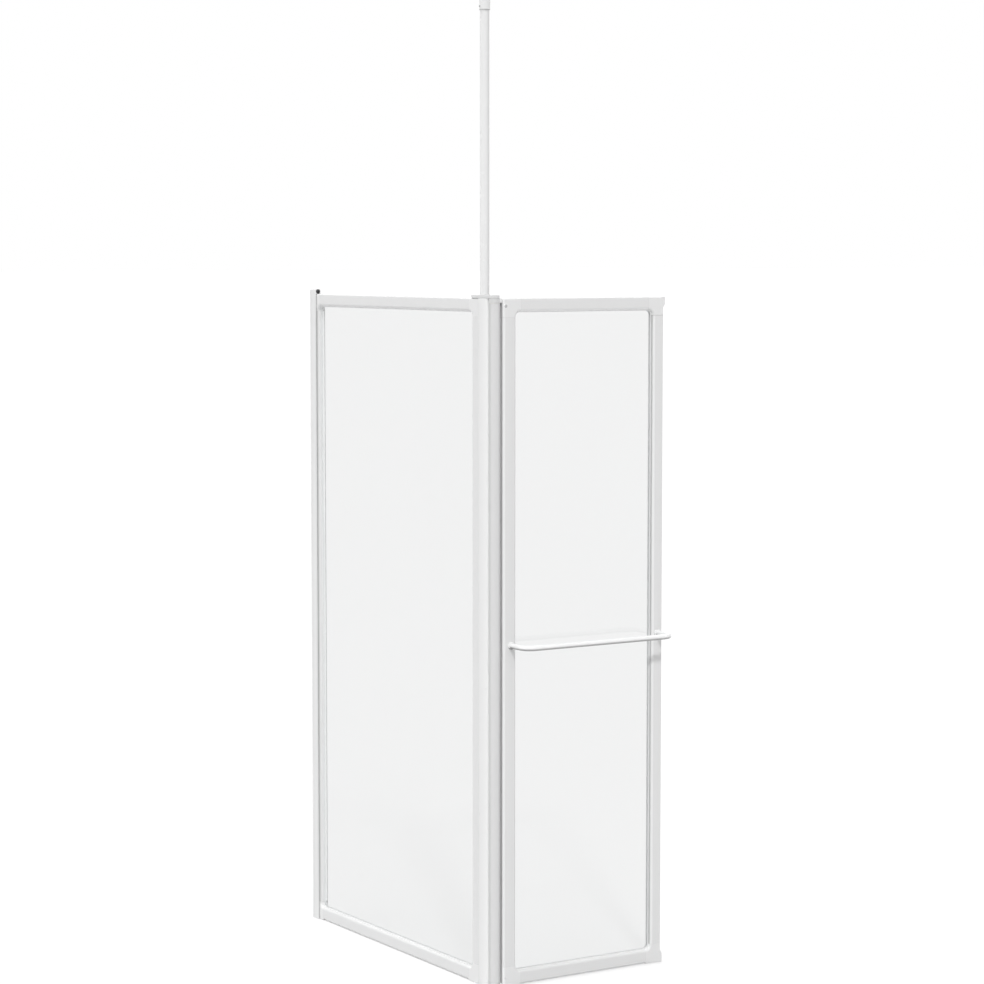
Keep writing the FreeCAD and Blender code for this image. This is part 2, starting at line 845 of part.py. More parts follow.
socket_inner = dim("pole_radius") + dim("socket_play")
socket_outer = socket_inner + dim("socket_wall")
socket_depth = dim("socket_overlap") + dim("socket_travel_room")
socket_z = cap_top + dim("pole_height") - dim("socket_overlap")
socket_top = socket_depth + dim("flange_thickness")

socket = new_body("ceiling_socket", hinge_x + pole_x, zero, socket_z)
socket_half = new_sketch(socket, "XZ")
flange_under = socket_top - dim("flange_thickness")
fillet_start = (socket_outer, flange_under - dim("flange_fillet"))
fillet_end = (socket_outer + dim("flange_fillet"), flange_under)
draw(socket_half, [
    line((socket_inner, zero), (socket_outer, zero)),
    line((socket_outer, zero), fillet_start),
    arc(fillet_start, fillet_end, (fillet_end[0], fillet_start[1]), dim("flange_fillet"), False),
    line(fillet_end, (dim("flange_radius"), flange_under)),
    line((dim("flange_radius"), flange_under), (dim("flange_radius"), socket_top)),
    line((dim("flange_radius"), socket_top), (zero, socket_top)),
    line((zero, socket_top), (zero, socket_depth)),
    line((zero, socket_depth), (socket_inner, socket_depth)),
    line((socket_inner, socket_depth), (socket_inner, zero)),
])
socket_turned = socket.newObject("PartDesign::Revolution", "turned_socket")
socket_turned.Profile = socket_half
socket_turned.ReferenceAxis = (socket_half, ["V_Axis"])
socket_turned.Angle = full_turn
finished(socket_turned)
flange_hole_sketch = new_sketch(socket, "XY", flange_under - dim("bore_clearance"))
draw_circle(flange_hole_sketch, dim("flange_screw_circle") / 2, zero, dim("flange_screw_radius"))
flange_hole = pocket(socket, flange_hole_sketch, dim("flange_thickness") + dim("overrun"))
flange_holes = socket.newObject("PartDesign::PolarPattern", "flange_holes")
flange_holes.Originals = [flange_hole]
flange_holes.Axis = (flange_hole_sketch, ["N_Axis"])
flange_holes.Angle = full_turn
flange_holes.Occurrences = flange_screw_count
socket.Tip = flange_holes
doc.recompute()
grub_hole = new_sketch(socket, "XZ", zero)
draw_circle(grub_hole, zero, dim("grub_height"), dim("grub_radius") + dim("thread_play"))
pocket(socket, grub_hole, socket_outer + dim("overrun"))

grub = new_body("ceiling_grub_screw", hinge_x + pole_x, zero, socket_z + dim("grub_height"))
grub_start = dim("pole_radius") + dim("spigot_play")
grub_section = new_sketch(grub, "XZ", grub_start)
draw_circle(grub_section, zero, zero, dim("grub_radius"))
pad(grub, grub_section, socket_outer - grub_start + dim("grub_stand"))


# Return panel's frame, drawn from the hinge axis

return_top = dim("screen_height")
hinge_edge = dim("hinge_stile_edge")
hinge_groove = hinge_edge - dim("groove_depth")
hinge_chamber_far = hinge_groove - dim("member_wall")
return_stile_z = return_foot_z + corner_reach
return_stile_length = return_top - corner_reach - return_stile_z
return_rail_y = hinge_edge + dim("inner_round")
return_rail_end = dim("return_width") - corner_reach
return_rail_length = return_rail_end - return_rail_y


def nose_arcs(shoulder, radius):
    # The rounded lips beside the barrel and the hollow between them, which is
    # struck from the hinge axis so that it clears the barrel all round.
    lip = dim("nose_lip")
    centre_x = half_depth - radius
    across = lip - centre_x
    lip_y = shoulder - root(radius * radius - across * across)
    hollow = root(lip * lip + lip_y * lip_y)
    return [
        arc((-half_depth, shoulder), (-lip, lip_y), (-centre_x, shoulder), radius, True),
        arc((-lip, lip_y), (lip, lip_y), (zero, zero), hollow, False),
        arc((lip, lip_y), (half_depth, shoulder), (centre_x, shoulder), radius, True),
    ]


def corner_nose_outline():
    # The moulded corner's nose has squarer lips than the stile's.
    shoulder = dim("corner_nose_shoulder")
    chain = [(half_depth, shoulder), (half_depth, hinge_edge), (-half_depth, hinge_edge), (-half_depth, shoulder)]
    lips = nose_arcs(shoulder, dim("corner_nose_round"))
    return lips + [line(start, end) for start, end in zip(chain, chain[1:])]


def hinge_stile_outline():
    # The nose, the flat faces and the glazing groove of the hinge stile.
    edge = dim("inner_edge_round")
    upper = hinge_edge - edge
    return nose_arcs(dim("nose_shoulder"), dim("nose_round")) + [
        line((half_depth, dim("nose_shoulder")), (half_depth, upper)),
        arc((half_depth, upper), (half_depth - edge, hinge_edge), (half_depth - edge, upper), edge, True),
        line((half_depth - edge, hinge_edge), (groove_half, hinge_edge)),
        line((groove_half, hinge_edge), (groove_half, hinge_groove)),
        line((groove_half, hinge_groove), (-groove_half, hinge_groove)),
        line((-groove_half, hinge_groove), (-groove_half, hinge_edge)),
        line((-groove_half, hinge_edge), (edge - half_depth, hinge_edge)),
        arc((edge - half_depth, hinge_edge), (-half_depth, upper), (edge - half_depth, upper), edge, True),
        line((-half_depth, upper), (-half_depth, dim("nose_shoulder"))),
    ]


hinge_stile = new_body("return_hinge_stile", hinge_x, zero, return_stile_z)
hinge_stile_section = new_sketch(hinge_stile, "XY")
draw(hinge_stile_section, hinge_stile_outline())
draw(hinge_stile_section, box_outline(-chamber_half, dim("hinge_chamber_start"), chamber_half,
                                      hinge_chamber_far, dim("hollow_round")))
pad(hinge_stile, hinge_stile_section, return_stile_length)

free_stile = new_body("return_free_stile", hinge_x, dim("return_width"), return_stile_z)
free_stile_section = new_sketch(free_stile, "XY")
draw(free_stile_section, swapped(member_outline(-1)))
draw(free_stile_section, swapped(box_outline(-chamber_far, -chamber_half, -chamber_near, chamber_half)))
pad(free_stile, free_stile_section, return_stile_length)


def return_rail(label, outer_z, side):
    body = new_body(label, hinge_x, return_rail_y, outer_z)
    section = new_sketch(body, "XZ")
    draw(section, swapped(member_outline(side)))
    draw(section, swapped(box_outline(chamber_near * side, -chamber_half, chamber_far * side, chamber_half)))
    pad(body, section, return_rail_length, back=True)


return_rail("return_top_rail", return_top, -1)
return_rail("return_bottom_rail", return_foot_z, 1)


def add_bumper(body, lift):
    # A pad that stands out of the free edge, rounded where a hand meets it, and
    # that slopes back to the edge at its inner end.
    edge = dim("bumper_round")
    inside = -edge * 2
    foot = seal_drop(lift)
    low = -dim("bumper_height") if lift < 0 else -foot
    plan = new_sketch(body, "XY", low)
    draw(plan, rounded([
        (-half_depth, inside, None),
        (half_depth, inside, None),
        (half_depth, dim("bumper_reach"), edge),
        (-half_depth, dim("bumper_reach"), edge),
    ]))
    pad(body, plan, dim("bumper_height") + foot)
    start = (dim("bumper_height") - dim("bumper_taper")) * lift
    end = dim("bumper_height") * lift
    past_y = dim("bumper_reach") + dim("overrun")
    past_z = end + dim("overrun") * lift
    taper = new_sketch(body, "YZ", -half_depth)
    slope = [(zero, end), (dim("bumper_reach"), start), (past_y, start), (past_y, past_z), (zero, past_z), (zero, end)]
    draw(taper, [line(first, last) for first, last in zip(slope, slope[1:])])
    pocket(body, taper, dim("frame_depth"))


def return_free_corner(label, outer_z, lift):
    # The corner at the free edge, with the bumper that stands out of its end.
    body = new_body(label, hinge_x, dim("return_width"), outer_z)
    face_view = new_sketch(body, "YZ", -half_depth)
    draw(face_view, corner_outline(-1, lift, seal_drop(lift)))
    pad(body, face_view, dim("frame_depth"))
    round_faces(body, "X", [("Y", -corner_reach), ("Z", corner_reach * lift)])
    add_bumper(body, lift)
    past = corner_reach + dim("overrun")
    pane_slot(body, "YZ", (-groove_floor, groove_floor * lift), (-past, past * lift))
    corner_tongue(body, "XY", beside(corner_reach, lift), (-tongue_half, -tongue_far),
                  (tongue_half, -tongue_near))
    corner_tongue(body, "XZ", corner_reach, (-tongue_half, tongue_near * lift), (tongue_half, tongue_far * lift))


def add_arm(body, low):
    # The round arm on the hinge axis, its neck and the hole for the pin.
    neck = dim("arm_neck") / 2
    neck_meet = root(dim("arm_radius") * dim("arm_radius") - neck * neck)
    neck_root = dim("nose_shoulder") + dim("arm_root")
    arm = new_sketch(body, "XY", low)
    draw(arm, [
        line((-neck, neck_root), (-neck, neck_meet)),
        arc((-neck, neck_meet), (neck, neck_meet), (zero, zero), dim("arm_radius"), True),
        line((neck, neck_meet), (neck, neck_root)),
        line((neck, neck_root), (-neck, neck_root)),
    ])
    pad(body, arm, dim("arm_height"))
    pin_hole = new_sketch(body, "XY", low - dim("overrun"))
    draw_circle(pin_hole, zero, zero, dim("pin_radius") + dim("thread_play"))
    pocket(body, pin_hole, dim("arm_height") + dim("overrun") * 2)


def return_hinge_corner(label, outer_z, lift):
    # The corner at the hinge, with the arm that reaches over the barrel's end.
    body = new_body(label, hinge_x, zero, outer_z)
    foot = seal_drop(lift)
    block_section = new_sketch(body, "XY", -foot if lift > 0 else -corner_reach)
    draw(block_section, corner_nose_outline())
    pad(body, block_section, corner_reach + foot)
    face_view = new_sketch(body, "YZ", -half_depth)
    inside = hinge_edge - dim("inner_round")
    face = dim("member_face")
    reach = hinge_edge + dim("inner_round")
    draw(face_view, [
        line((reach, -foot * lift), (reach, face * lift)),
        arc((reach, face * lift), (hinge_edge, corner_reach * lift), (reach, corner_reach * lift),
            dim("inner_round"), lift < 0),
        line((hinge_edge, corner_reach * lift), (inside, corner_reach * lift)),
        line((inside, corner_reach * lift), (inside, -foot * lift)),
        line((inside, -foot * lift), (reach, -foot * lift)),
    ])
    pad(body, face_view, dim("frame_depth"))
    round_opening(body, "X")
    outer_z_edge = -foot if lift > 0 else zero
    fillet(body, dim("outer_round"), lambda edge: on_face(edge, "X") and flat_at(edge, "Z", outer_z_edge))
    past = dim("overrun")
    pane_slot(body, "YZ", (hinge_groove, groove_floor * lift), (reach + past, (corner_reach + past) * lift))
    corner_tongue(body, "XY", beside(corner_reach, lift),
                  (-tongue_half, dim("hinge_chamber_start") + dim("tongue_play")),
                  (tongue_half, hinge_chamber_far - dim("tongue_play")))
    corner_tongue(body, "XZ", -reach, (-tongue_half, tongue_near * lift), (tongue_half, tongue_far * lift),
                  back=True)
    add_arm(body, -foot if lift > 0 else -dim("arm_play") - dim("arm_height"))
    screw_hole = new_sketch(body, "YZ", half_depth - dim("corner_screw_length") - dim("thread_play"))
    draw_circle(screw_hole, dim("nose_shoulder"), dim("corner_screw_drop") * lift,
                dim("corner_screw_radius") + dim("thread_play"))
    pocket(body, screw_hole, dim("corner_screw_length") + dim("overrun"))


return_free_corner("return_free_corner_top", return_top, -1)
return_free_corner("return_free_corner_bottom", return_foot_z, 1)
return_hinge_corner("return_hinge_corner_top", return_top, -1)
return_hinge_corner("return_hinge_corner_bottom", return_foot_z, 1)

corner_screws = new_body("hinge_corner_screws", hinge_x + half_depth)
add_screws(corner_screws, "corner_screw", -dim("corner_screw_length"), zero,
           [(dim("nose_shoulder"), return_top - dim("corner_screw_drop")),
            (dim("nose_shoulder"), return_foot_z + dim("corner_screw_drop"))])


def return_corners(inset):
    # The corners of an outline that lies inside the return frame's inner edge.
    offset = dim("member_face") - inset
    return ((hinge_edge - offset, return_foot_z + inset),
            (dim("return_width") - inset, return_top - inset))


pane("return_pane", "YZ", *return_corners(pane_inset), x=hinge_x)
gasket("return_pane_gasket", "YZ", *return_corners(groove_floor), *return_corners(gasket_inset),
       *return_corners(pane_inset), x=hinge_x)

return_seal = new_body("return_bottom_seal", hinge_x, return_rail_y, dim("return_lift"))
return_seal_section = new_sketch(return_seal, "XZ")
draw(return_seal_section, seal_outline())
pad(return_seal, return_seal_section, return_rail_length, back=True)


# Towel rail, bent from one tube, with a moulded foot at each end

rail_near_y = (dim("nose_shoulder") + hinge_edge) / 2
rail_far_y = dim("return_width") - dim("member_face") / 2
foot_x = half_depth
rail_start_x = foot_x + dim("rail_foot_thickness") / 2
rail_run_x = foot_x + dim("rail_standoff")
bend = dim("rail_bend")

rail = new_body("towel_rail", hinge_x, zero, dim("rail_height"))
route = new_sketch(rail, "XY")
draw(route, [
    line((rail_start_x, rail_near_y), (rail_run_x - bend, rail_near_y)),
    arc((rail_run_x - bend, rail_near_y), (rail_run_x, rail_near_y + bend),
        (rail_run_x - bend, rail_near_y + bend), bend, True),
    line((rail_run_x, rail_near_y + bend), (rail_run_x, rail_far_y - bend)),
    arc((rail_run_x, rail_far_y - bend), (rail_run_x - bend, rail_far_y),
        (rail_run_x - bend, rail_far_y - bend), bend, True),
    line((rail_run_x - bend, rail_far_y), (rail_start_x, rail_far_y)),
], closed=False)
rail_section = new_sketch(rail, "YZ", rail_start_x)
draw_circle(rail_section, rail_near_y, zero, dim("rail_radius"))
draw_circle(rail_section, rail_near_y, zero, dim("rail_radius") - dim("rail_wall"))
rail_tube = rail.newObject("PartDesign::AdditivePipe", "bent_tube")
rail_tube.Profile = rail_section
rail_tube.Spine = route
finished(rail_tube)

rail_feet = new_body("rail_feet", hinge_x, zero, dim("rail_height"))
rail_hole_radius = dim("rail_screw_radius") + dim("thread_play")
plug_radius = dim("rail_radius") - dim("rail_wall") - dim("spigot_play")
foot_disc = new_sketch(rail_feet, "YZ", foot_x)
foot_recess = new_sketch(rail_feet, "YZ", rail_start_x)
foot_plug = new_sketch(rail_feet, "YZ", rail_start_x)
foot_bore = new_sketch(rail_feet, "YZ", foot_x)
for foot_y in (rail_near_y, rail_far_y):
    draw_circle(foot_disc, foot_y, zero, dim("rail_foot_radius"))
    draw_circle(foot_recess, foot_y, zero, dim("rail_radius") + dim("spigot_play"))
    draw_circle(foot_plug, foot_y, zero, plug_radius)
    draw_circle(foot_bore, foot_y, zero, rail_hole_radius)
pad(rail_feet, foot_disc, dim("rail_foot_thickness"))
pocket(rail_feet, foot_recess, dim("rail_foot_thickness"))
pad(rail_feet, foot_plug, dim("rail_plug_length"))
pocket(rail_feet, foot_bore, dim("rail_plug_length"))

# Screws from the back of each stile into the rail's feet

rail_screws = new_body("rail_screws", hinge_x, zero, dim("rail_height"))
add_screws(rail_screws, "rail_screw", -half_depth, -half_depth - dim("rail_screw_head_height"),
           [(rail_near_y, zero), (rail_far_y, zero)])


def rail_screw_hole(body, y):
    # A hole through both walls of a stile for the rail's screw.
    hole = new_sketch(body, "YZ", -half_depth - dim("overrun"))
    draw_circle(hole, y, dim("rail_height") - return_stile_z, rail_hole_radius)
    pocket(body, hole, dim("frame_depth") + dim("overrun") * 2)


rail_screw_hole(hinge_stile, rail_near_y)
rail_screw_hole(free_stile, rail_far_y - dim("return_width"))

pins = new_body("hinge_pins", hinge_x)
top_pin_low = barrel_top - dim("bush_length")
top_pin = new_sketch(pins, "XY", top_pin_low)
draw_circle(top_pin, zero, zero, dim("pin_radius"))
pad(pins, top_pin, return_top - dim("arm_play") - top_pin_low)
foot_pin = new_sketch(pins, "XY", dim("return_lift"))
draw_circle(foot_pin, zero, zero, dim("pin_radius"))
pad(pins, foot_pin, barrel_foot + dim("bush_length") - dim("return_lift"))

doc.recompute()
for item in doc.Objects:
    if "Invalid" in item.State or "Error" in item.State:
        raise ValueError(f"{item.Label} failed: {item.State}")

os.makedirs("parts", exist_ok=True)
for piece in pieces:
    if piece.Shape.isNull() or not piece.Shape.isValid():
        raise ValueError(f"{piece.Label} has no valid shape")
    piece.Shape.exportStep(f"parts/{piece.Label}.step")
    bounds = piece.Shape.BoundBox
    print(f"{piece.Label}: {len(piece.Shape.Solids)} solids, {piece.Shape.Volume:.0f} mm3, "
          f"x {bounds.XMin:.1f} to {bounds.XMax:.1f}, y {bounds.YMin:.1f} to {bounds.YMax:.1f}, "
          f"z {bounds.ZMin:.1f} to {bounds.ZMax:.1f}")
print(f"{len(pieces)} pieces")
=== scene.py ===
import json
from math import cos, pi, radians, sin

import bmesh
import bpy
from mathutils import Matrix, Vector


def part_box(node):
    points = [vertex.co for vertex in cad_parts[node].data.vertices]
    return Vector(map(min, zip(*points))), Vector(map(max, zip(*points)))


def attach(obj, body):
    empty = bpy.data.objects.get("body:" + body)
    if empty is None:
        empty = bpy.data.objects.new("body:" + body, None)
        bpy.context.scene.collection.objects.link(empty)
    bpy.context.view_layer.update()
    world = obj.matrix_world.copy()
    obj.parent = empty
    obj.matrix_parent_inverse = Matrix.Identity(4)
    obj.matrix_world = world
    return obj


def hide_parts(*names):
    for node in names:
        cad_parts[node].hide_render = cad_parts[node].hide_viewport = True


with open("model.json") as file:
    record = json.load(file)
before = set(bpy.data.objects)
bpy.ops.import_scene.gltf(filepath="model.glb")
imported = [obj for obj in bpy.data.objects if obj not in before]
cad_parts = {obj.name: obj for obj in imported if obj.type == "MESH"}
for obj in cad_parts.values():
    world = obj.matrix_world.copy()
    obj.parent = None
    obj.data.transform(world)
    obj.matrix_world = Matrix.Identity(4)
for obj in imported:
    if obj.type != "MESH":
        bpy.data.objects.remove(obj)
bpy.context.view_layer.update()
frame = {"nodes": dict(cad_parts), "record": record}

# Framed bath screen in white: a fixed panel on a wall channel, a corner post with a pole
# to the ceiling, and a hinged return panel with a towel rail. Lengths are in metres.

nodes = frame["nodes"]
print("frame loaded,", len(nodes), "nodes")


# Meshes and objects

def meshFrom(bm, name):
    mesh = bpy.data.meshes.new(name)
    bm.to_mesh(mesh)
    bm.free()
    return mesh


def addObject(name, data):
    thing = bpy.data.objects.new(name, data)
    bpy.context.scene.collection.objects.link(thing)
    return thing


# Shader building

def grey(level):
    return (level, level, level)


def opaque(color):
    return (*color, 1.0)


def fillInputs(tree, node, inputs):
    # An output is linked to its input, and anything else becomes the input's own value
    for name, value in inputs.items():
        if isinstance(value, bpy.types.NodeSocket):
            tree.links.new(value, node.inputs[name])
        else:
            node.inputs[name].default_value = value


def addNode(tree, kind, inputs=None, **settings):
    node = tree.nodes.new(kind)
    for name, value in settings.items():
        setattr(node, name, value)
    fillInputs(tree, node, inputs or {})
    return node


def mathValue(tree, operation, *values):
    inputs = dict(enumerate(values))
    return addNode(tree, "ShaderNodeMath", inputs, operation=operation).outputs[0]


def mixedColor(tree, share, first, second, blend="MIX"):
    # Inputs 6 and 7 and output 2 are the Mix node's colours
    return addNode(tree, "ShaderNodeMix", {"Factor": share, 6: first, 7: second},
                   data_type="RGBA", blend_type=blend).outputs[2]


def objectPlace(tree):
    return addNode(tree, "ShaderNodeTexCoord").outputs["Object"]


def noiseValue(tree, place, scale, detail, roughness=0.5):
    return addNode(tree, "ShaderNodeTexNoise", {
        "Vector": place, "Scale": scale, "Detail": detail, "Roughness": roughness,
    }).outputs["Fac"]


def rayMask(tree, *kinds):
    # 1 for a ray of any of these kinds and 0 for the others
    path = addNode(tree, "ShaderNodeLightPath").outputs
    mask = path[kinds[0]]
    for kind in kinds[1:]:
        mask = mathValue(tree, "MAXIMUM", mask, path[kind])
    return mask


def startMaterial(name):
    material = bpy.data.materials.new(name)
    material.use_nodes = True
    tree = material.node_tree
    return material, tree, tree.nodes["Principled BSDF"]


def startGroup(name, takes, gives):
    # takes lists the inputs as name, kind and first value, and gives the outputs as name and kind
    tree = bpy.data.node_groups.new(name, "ShaderNodeTree")
    for label, kind, value in takes:
        socket = tree.interface.new_socket(label, in_out="INPUT", socket_type=kind)
        socket.default_value = value
    for label, kind in gives:
        tree.interface.new_socket(label, in_out="OUTPUT", socket_type=kind)
    output = tree.nodes.new("NodeGroupOutput")
    return tree, tree.nodes.new("NodeGroupInput").outputs, output


def useGroup(tree, group, inputs):
    return addNode(tree, "ShaderNodeGroup", inputs, node_tree=group).outputs


# What all films share; the rest comes with each finish
filmPattern = {
    "driftScale": 2.6, "driftDetail": 3.0, "driftColor": (0.52, 0.53, 0.55),
    "patchScale": 46.0, "patchDetail": 4.0, "patchMiddle": 0.5,
    "peelDetail": 2.0, "peelRoughness": 0.4, "edgeSamples": 4,
}


def makeFilmGroup(look):
    # Paint or moulded skin: a slow drift of shade, a varied gloss and a fine peel
    tree, take, output = startGroup("surfaceFilm", [
        ("Color", "NodeSocketColor", opaque(grey(0.8))),
        ("Shade Drift", "NodeSocketFloat", 0.02),
        ("Roughness", "NodeSocketFloat", 0.4),
        ("Gloss Drift", "NodeSocketFloat", 0.05),
        ("Peel Scale", "NodeSocketFloat", 600.0),
    ], [
        ("Color", "NodeSocketColor"),
        ("Roughness", "NodeSocketFloat"),
        ("Height", "NodeSocketFloat"),
    ])
    place = objectPlace(tree)
    slow = noiseValue(tree, place, look["driftScale"], look["driftDetail"])
    patch = noiseValue(tree, place, look["patchScale"], look["patchDetail"])
    peel = noiseValue(tree, place, take["Peel Scale"], look["peelDetail"], look["peelRoughness"])
    drift = mathValue(tree, "MULTIPLY", slow, take["Shade Drift"])
    swing = mathValue(tree, "SUBTRACT", patch, look["patchMiddle"])
    fillInputs(tree, output, {
        "Color": mixedColor(tree, drift, take["Color"], opaque(look["driftColor"])),
        "Roughness": mathValue(tree, "MULTIPLY_ADD", swing, take["Gloss Drift"], take["Roughness"]),
        "Height": peel,
    })
    return tree


def makeStepGroup():
    # A share that runs from one value to the next between two places along an axis
    tree, take, output = startGroup("shadeStep", [
        ("Share", "NodeSocketFloat", 1.0),
        ("Next Share", "NodeSocketFloat", 1.0),
        ("Along", "NodeSocketFloat", 0.0),
        ("Start", "NodeSocketFloat", 0.0),
        ("End", "NodeSocketFloat", 1.0),
    ], [("Share", "NodeSocketFloat")])
    past = addNode(tree, "ShaderNodeMapRange", {
        "Value": take["Along"], "From Min": take["Start"], "From Max": take["End"],
    }).outputs["Result"]
    share = addNode(tree, "ShaderNodeMix", {
        "Factor": past, 2: take["Share"], 3: take["Next Share"],
    }, data_type="FLOAT").outputs[0]
    fillInputs(tree, output, {"Share": share})
    return tree


filmGroup = makeFilmGroup(filmPattern)
stepGroup = makeStepGroup()


def bandedShade(tree, shade, bandList):
    # Scales a shade by shares that change from place to place, each set along one axis
    for bands in bandList:
        place = addNode(tree, "ShaderNodeSeparateXYZ", {"Vector": objectPlace(tree)})
        stops = bands["stops"]
        share = stops[0][1]
        for here, there in zip(stops, stops[1:]):
            share = useGroup(tree, stepGroup, {
                "Share": share, "Next Share": there[1], "Along": place.outputs[bands["axis"]],
                "Start": here[0], "End": there[0],
            })["Share"]
        shade = mixedColor(tree, 1.0, shade, share, "MULTIPLY")
    return shade


# Coats, mouldings, rubber and other surfaces with a film

def filmMaterial(name, look):
    # The surface has its sharp edges eased and its skin slightly uneven
    material, tree, shader = startMaterial(name)
    film = useGroup(tree, filmGroup, {
        "Color": bandedShade(tree, opaque(look["color"]), look.get("bands", [])),
        "Shade Drift": look["shadeDrift"], "Roughness": look["roughness"],
        "Gloss Drift": look["glossDrift"], "Peel Scale": look["peelScale"],
    })
    eased = addNode(tree, "ShaderNodeBevel", {"Radius": look["edge"]},
                    samples=filmPattern["edgeSamples"])
    bump = addNode(tree, "ShaderNodeBump", {
        "Height": film["Height"], "Normal": eased.outputs["Normal"],
        "Strength": look["peelStrength"], "Distance": look["peelDepth"],
    })
    fillInputs(tree, shader, {
        "Base Color": film["Color"], "Roughness": film["Roughness"],
        "Normal": bump.outputs["Normal"], "IOR": look["ior"],
    })
    if "glow" in look:
        fillInputs(tree, shader, {
            "Emission Color": bandedShade(tree, opaque(grey(1.0)), look["glow"]["bands"]),
            "Emission Strength": look["glow"]["strength"],
        })
    return material


whiteCoat = {
    "color": grey(0.80), "shadeDrift": 0.05, "roughness": 0.38, "glossDrift": 0.10,
    "peelScale": 520.0, "peelStrength": 0.35, "peelDepth": 0.00004, "edge": 0.0004, "ior": 1.46,
}
whiteMoulding = {
    "color": grey(0.83), "shadeDrift": 0.04, "roughness": 0.32, "glossDrift": 0.08,
    "peelScale": 1500.0, "peelStrength": 0.25, "peelDepth": 0.00002, "edge": 0.0005, "ior": 1.49,
}
glazingStrip = {
    "color": grey(0.93), "shadeDrift": 0.15, "roughness": 0.62, "glossDrift": 0.18,
    "peelScale": 900.0, "peelStrength": 0.4, "peelDepth": 0.00003, "edge": 0.0003, "ior": 1.5,
}
sealRubber = {
    "color": grey(0.90), "shadeDrift": 0.12, "roughness": 0.5, "glossDrift": 0.16,
    "peelScale": 900.0, "peelStrength": 0.4, "peelDepth": 0.00003, "edge": 0.0003, "ior": 1.5,
}
bushNylon = {
    "color": (0.74, 0.72, 0.66), "shadeDrift": 0.08, "roughness": 0.42, "glossDrift": 0.10,
    "peelScale": 1300.0, "peelStrength": 0.25, "peelDepth": 0.00002, "edge": 0.0003, "ior": 1.53,
}
blackFinish = {
    "color": (0.018, 0.018, 0.02), "shadeDrift": 0.04, "roughness": 0.42, "glossDrift": 0.20,
    "peelScale": 1800.0, "peelStrength": 0.3, "peelDepth": 0.00002, "edge": 0.0002, "ior": 1.5,
}


# Panes

def glassMaterial(name, look):
    # Clear sheet: shadows and soft light pass straight through it, and it is very slightly wavy
    material, tree, shader = startMaterial(name)
    place = objectPlace(tree)
    wave = noiseValue(tree, place, look["waveScale"], look["waveDetail"])
    haze = noiseValue(tree, place, look["hazeScale"], look["hazeDetail"])
    bump = addNode(tree, "ShaderNodeBump", {
        "Height": wave, "Strength": look["waveStrength"], "Distance": look["waveDepth"],
    })
    fillInputs(tree, shader, {
        "Base Color": mixedColor(tree, haze, opaque(look["color"]), opaque(look["hazeColor"])),
        "Normal": bump.outputs["Normal"], "Transmission Weight": 1.0,
        "Roughness": look["roughness"], "IOR": look["ior"],
    })
    through = addNode(tree, "ShaderNodeBsdfTransparent", {"Color": opaque(look["shadowColor"])})
    either = addNode(tree, "ShaderNodeMixShader", {
        0: rayMask(tree, "Is Shadow Ray", "Is Diffuse Ray"),
        1: shader.outputs[0], 2: through.outputs[0],
    })
    tree.links.new(either.outputs[0], tree.nodes["Material Output"].inputs["Surface"])
    return material


paneGlass = {
    "color": (0.832, 0.835, 0.835), "hazeColor": (0.848, 0.851, 0.851),
    "hazeScale": 1.6, "hazeDetail": 3.0, "roughness": 0.0, "ior": 1.46,
    "waveScale": 2.2, "waveDetail": 1.0, "waveStrength": 1.0, "waveDepth": 0.00004,
    "shadowColor": (0.9, 0.91, 0.91),
}
fixedGlass = dict(paneGlass, color=(0.820, 0.823, 0.823), hazeColor=(0.836, 0.839, 0.839))


# Screws and pins

def steelMaterial(name, look):
    # Turned steel: a fine grain of scratches over the piece and a little stain
    material, tree, shader = startMaterial(name)
    place = objectPlace(tree)
    grain = noiseValue(tree, place, look["grainScale"], look["grainDetail"])
    stain = noiseValue(tree, place, look["stainScale"], look["stainDetail"])
    rough = addNode(tree, "ShaderNodeMapRange", {
        "Value": grain, "To Min": look["roughLow"], "To Max": look["roughHigh"],
    })
    bump = addNode(tree, "ShaderNodeBump", {
        "Height": grain, "Strength": look["grainStrength"], "Distance": look["grainDepth"],
    })
    fillInputs(tree, shader, {
        "Base Color": mixedColor(tree, stain, opaque(look["color"]), opaque(look["stainColor"])),
        "Roughness": rough.outputs["Result"], "Normal": bump.outputs["Normal"], "Metallic": 1.0,
    })
    return material


screwSteel = {
    "color": grey(0.62), "roughLow": 0.18, "roughHigh": 0.38,
    "grainScale": 1600.0, "grainDetail": 5.0, "grainStrength": 0.3, "grainDepth": 0.00001,
    "stainColor": (0.48, 0.48, 0.49), "stainScale": 90.0, "stainDetail": 2.0,
}


# Finishes of the record's slots, and those of single nodes

slotMaterials = {
    "white_aluminium": filmMaterial("whiteCoat", whiteCoat),
    "white_moulding": filmMaterial("whiteMoulding", whiteMoulding),
    "grey_gasket": filmMaterial("glazingStrip", glazingStrip),
    "grey_seal": filmMaterial("sealRubber", sealRubber),
    "natural_nylon": filmMaterial("bushNylon", bushNylon),
    "black_screw": filmMaterial("blackFinish", blackFinish),
    "clear_glass": glassMaterial("paneGlass", paneGlass),
    "bright_steel": steelMaterial("screwSteel", screwSteel),
}
